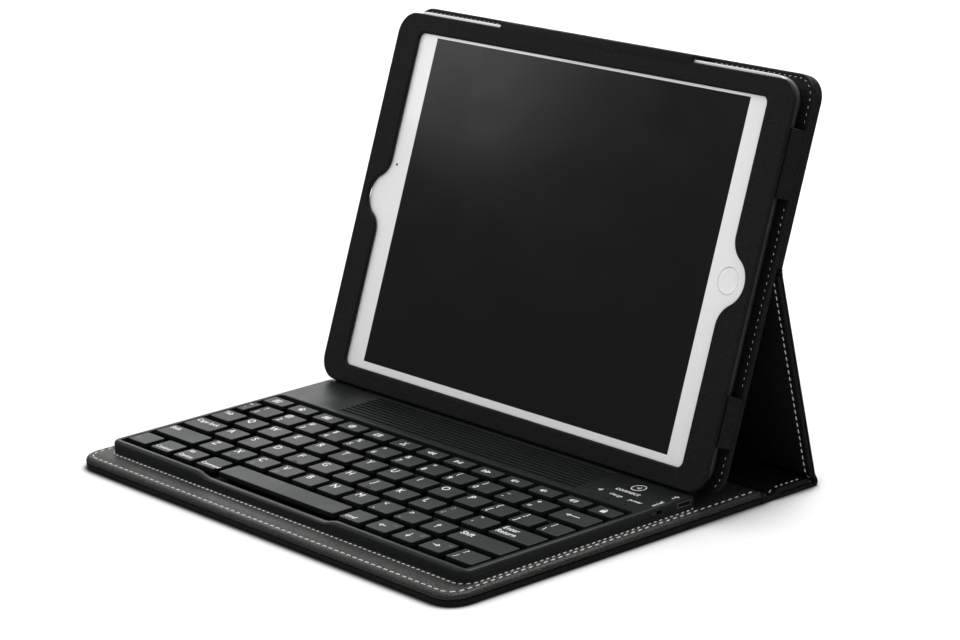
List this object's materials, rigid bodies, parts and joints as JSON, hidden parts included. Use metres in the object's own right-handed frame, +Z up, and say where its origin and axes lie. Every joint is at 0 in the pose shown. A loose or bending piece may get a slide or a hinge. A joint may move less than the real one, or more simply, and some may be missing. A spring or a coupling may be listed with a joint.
{
  "type": "tablet keyboard case",
  "caption": "Folding leatherette tablet case standing open, with a wireless keyboard on its base, a framed tablet holder on a folding leg and a plain tablet in it.",
  "frame": {"origin": "middle of the footprint of the open case, on the surface that it stands on", "axes": "+X to the right along the width, +Y from the front edge to the back, +Z up"},
  "size_m": [0.25, 0.2062, 0.1731],
  "materials": {
    "leatherette": "black grained leatherette, soft sheen",
    "lining_leatherette": "smooth black leatherette lining, brownish sheen",
    "board": "stiffening fibreboard",
    "keyboard_shell": "rubberised charcoal plastic, fine grain",
    "key": "soft matt charcoal key caps",
    "button": "soft matt charcoal",
    "membrane": "matt rubber sheet",
    "circuit": "green solder mask",
    "battery": "foil pouch",
    "steel": "plated steel",
    "magnet": "nickel plate",
    "dark_lens": "smoked plastic, unlit",
    "tablet_metal": "fine blasted silver",
    "tablet_white": "white glass bezel",
    "tablet_screen": "switched-off screen glass"
  },
  "bodies": {
    "base": {"base_outer_skin": "leatherette", "base_board": "board", "base_lining": "lining_leatherette", "front_crease": "leatherette", "keyboard_bottom_shell": "keyboard_shell", "keyboard_top_shell": "keyboard_shell", "key_membrane": "membrane", "circuit_board": "circuit", "battery": "battery", "usb_port": "steel", "status_lenses": "dark_lens", "keyboard_screws": "steel", "closure_magnets": "magnet"},
    "spine": {"spine_skin": "leatherette", "spine_board": "board", "spine_lining": "lining_leatherette", "rear_crease": "leatherette"},
    "leg": {"leg_skin": "leatherette", "leg_board": "board", "leg_lining": "lining_leatherette", "back_crease": "leatherette"},
    "holder": {"upper_cover_skin": "leatherette", "upper_cover_board": "board", "holder_back_panel": "lining_leatherette", "holder_frame": "leatherette", "holder_top_tab": "leatherette", "holder_side_tabs": "leatherette", "holder_bottom_edge": "leatherette", "strike_plates": "steel"},
    "tablet": {"tablet_shell": "tablet_metal", "tablet_glass": "tablet_white", "tablet_display": "tablet_screen", "camera_lenses": "dark_lens"},
    "home_button": {"home_button": "tablet_white"},
    "connect_button": {"connect_button": "button"},
    "power_switch": {"power_switch": "button"},
    "function_keys": {"function_keys": "key"},
    "number_keys": {"number_keys": "key"},
    "q_row_keys": {"q_row_keys": "key"},
    "a_row_keys": {"a_row_keys": "key"},
    "z_row_keys": {"z_row_keys": "key"},
    "grave_key": {"grave_key": "key"},
    "backspace_key": {"backspace_key": "key"},
    "tab_key": {"tab_key": "key"},
    "caps_lock_key": {"caps_lock_key": "key"},
    "enter_key": {"enter_key": "key"},
    "left_shift_key": {"left_shift_key": "key"},
    "up_key": {"up_key": "key"},
    "right_shift_key": {"right_shift_key": "key"},
    "fn_key": {"fn_key": "key"},
    "control_key": {"control_key": "key"},
    "option_key": {"option_key": "key"},
    "left_command_key": {"left_command_key": "key"},
    "space_bar": {"space_bar": "key"},
    "right_command_key": {"right_command_key": "key"},
    "left_key": {"left_key": "key"},
    "down_key": {"down_key": "key"},
    "right_key": {"right_key": "key"},
    "slash_key": {"slash_key": "key"}
  },
  "joints": [
    {"name": "spine_hinge", "type": "hinge", "parent": "base", "child": "spine", "pos_m": [0, 0.06654, 0.0005], "axis": [1, 0, 0], "range_deg": [-90, 0]},
    {"name": "leg_hinge", "type": "hinge", "parent": "spine", "child": "leg", "pos_m": [0, 0.09354, 0.0005], "axis": [1, 0, 0], "range_deg": [-100.94, 0]},
    {"name": "holder_hinge", "type": "hinge", "parent": "leg", "child": "holder", "pos_m": [0, 0.07529, 0.09485], "axis": [1, 0, 0], "range_deg": [0, 31.25]},
    {"name": "tablet_slide", "type": "slide", "parent": "holder", "child": "tablet", "axis": [-1, 0, 0], "range_m": [0, 0.245]},
    {"name": "home_button_press", "type": "slide", "parent": "tablet", "child": "home_button", "axis": [0, 0.9379, -0.3469], "range_m": [0, 0.0003], "stiffness_N_per_m": 3000},
    {"name": "connect_button_press", "type": "slide", "parent": "base", "child": "connect_button", "axis": [0, 0, -1], "range_m": [0, 0.0006], "stiffness_N_per_m": 2500},
    {"name": "power_switch_slide", "type": "slide", "parent": "base", "child": "power_switch", "axis": [0, 1, 0], "range_m": [0, 0.003]},
    {"name": "function_keys_press", "type": "slide", "parent": "base", "child": "function_keys", "axis": [0, 0, -1], "range_m": [0, 0.0014], "stiffness_N_per_m": 4550},
    {"name": "number_keys_press", "type": "slide", "parent": "base", "child": "number_keys", "axis": [0, 0, -1], "range_m": [0, 0.0014], "stiffness_N_per_m": 4200},
    {"name": "q_row_keys_press", "type": "slide", "parent": "base", "child": "q_row_keys", "axis": [0, 0, -1], "range_m": [0, 0.0014], "stiffness_N_per_m": 4550},
    {"name": "a_row_keys_press", "type": "slide", "parent": "base", "child": "a_row_keys", "axis": [0, 0, -1], "range_m": [0, 0.0014], "stiffness_N_per_m": 3850},
    {"name": "z_row_keys_press", "type": "slide", "parent": "base", "child": "z_row_keys", "axis": [0, 0, -1], "range_m": [0, 0.0014], "stiffness_N_per_m": 3150},
    {"name": "grave_key_press", "type": "slide", "parent": "base", "child": "grave_key", "axis": [0, 0, -1], "range_m": [0, 0.0014], "stiffness_N_per_m": 350},
    {"name": "backspace_key_press", "type": "slide", "parent": "base", "child": "backspace_key", "axis": [0, 0, -1], "range_m": [0, 0.0014], "stiffness_N_per_m": 350},
    {"name": "tab_key_press", "type": "slide", "parent": "base", "child": "tab_key", "axis": [0, 0, -1], "range_m": [0, 0.0014], "stiffness_N_per_m": 350},
    {"name": "caps_lock_key_press", "type": "slide", "parent": "base", "child": "caps_lock_key", "axis": [0, 0, -1], "range_m": [0, 0.0014], "stiffness_N_per_m": 350},
    {"name": "enter_key_press", "type": "slide", "parent": "base", "child": "enter_key", "axis": [0, 0, -1], "range_m": [0, 0.0014], "stiffness_N_per_m": 350},
    {"name": "left_shift_key_press", "type": "slide", "parent": "base", "child": "left_shift_key", "axis": [0, 0, -1], "range_m": [0, 0.0014], "stiffness_N_per_m": 350},
    {"name": "up_key_press", "type": "slide", "parent": "base", "child": "up_key", "axis": [0, 0, -1], "range_m": [0, 0.0014], "stiffness_N_per_m": 350},
    {"name": "right_shift_key_press", "type": "slide", "parent": "base", "child": "right_shift_key", "axis": [0, 0, -1], "range_m": [0, 0.0014], "stiffness_N_per_m": 350},
    {"name": "fn_key_press", "type": "slide", "parent": "base", "child": "fn_key", "axis": [0, 0, -1], "range_m": [0, 0.0014], "stiffness_N_per_m": 350},
    {"name": "control_key_press", "type": "slide", "parent": "base", "child": "control_key", "axis": [0, 0, -1], "range_m": [0, 0.0014], "stiffness_N_per_m": 350},
    {"name": "option_key_press", "type": "slide", "parent": "base", "child": "option_key", "axis": [0, 0, -1], "range_m": [0, 0.0014], "stiffness_N_per_m": 350},
    {"name": "left_command_key_press", "type": "slide", "parent": "base", "child": "left_command_key", "axis": [0, 0, -1], "range_m": [0, 0.0014], "stiffness_N_per_m": 350},
    {"name": "space_bar_press", "type": "slide", "parent": "base", "child": "space_bar", "axis": [0, 0, -1], "range_m": [0, 0.0014], "stiffness_N_per_m": 350},
    {"name": "right_command_key_press", "type": "slide", "parent": "base", "child": "right_command_key", "axis": [0, 0, -1], "range_m": [0, 0.0014], "stiffness_N_per_m": 350},
    {"name": "left_key_press", "type": "slide", "parent": "base", "child": "left_key", "axis": [0, 0, -1], "range_m": [0, 0.0014], "stiffness_N_per_m": 350},
    {"name": "down_key_press", "type": "slide", "parent": "base", "child": "down_key", "axis": [0, 0, -1], "range_m": [0, 0.0014], "stiffness_N_per_m": 350},
    {"name": "right_key_press", "type": "slide", "parent": "base", "child": "right_key", "axis": [0, 0, -1], "range_m": [0, 0.0014], "stiffness_N_per_m": 350},
    {"name": "slash_key_press", "type": "slide", "parent": "base", "child": "slash_key", "axis": [0, 0, -1], "range_m": [0, 0.0014], "stiffness_N_per_m": 350}
  ],
  "couplings": [
    {"joint": "holder_hinge", "follows": "leg_hinge", "ratio": -0.30952}
  ]
}
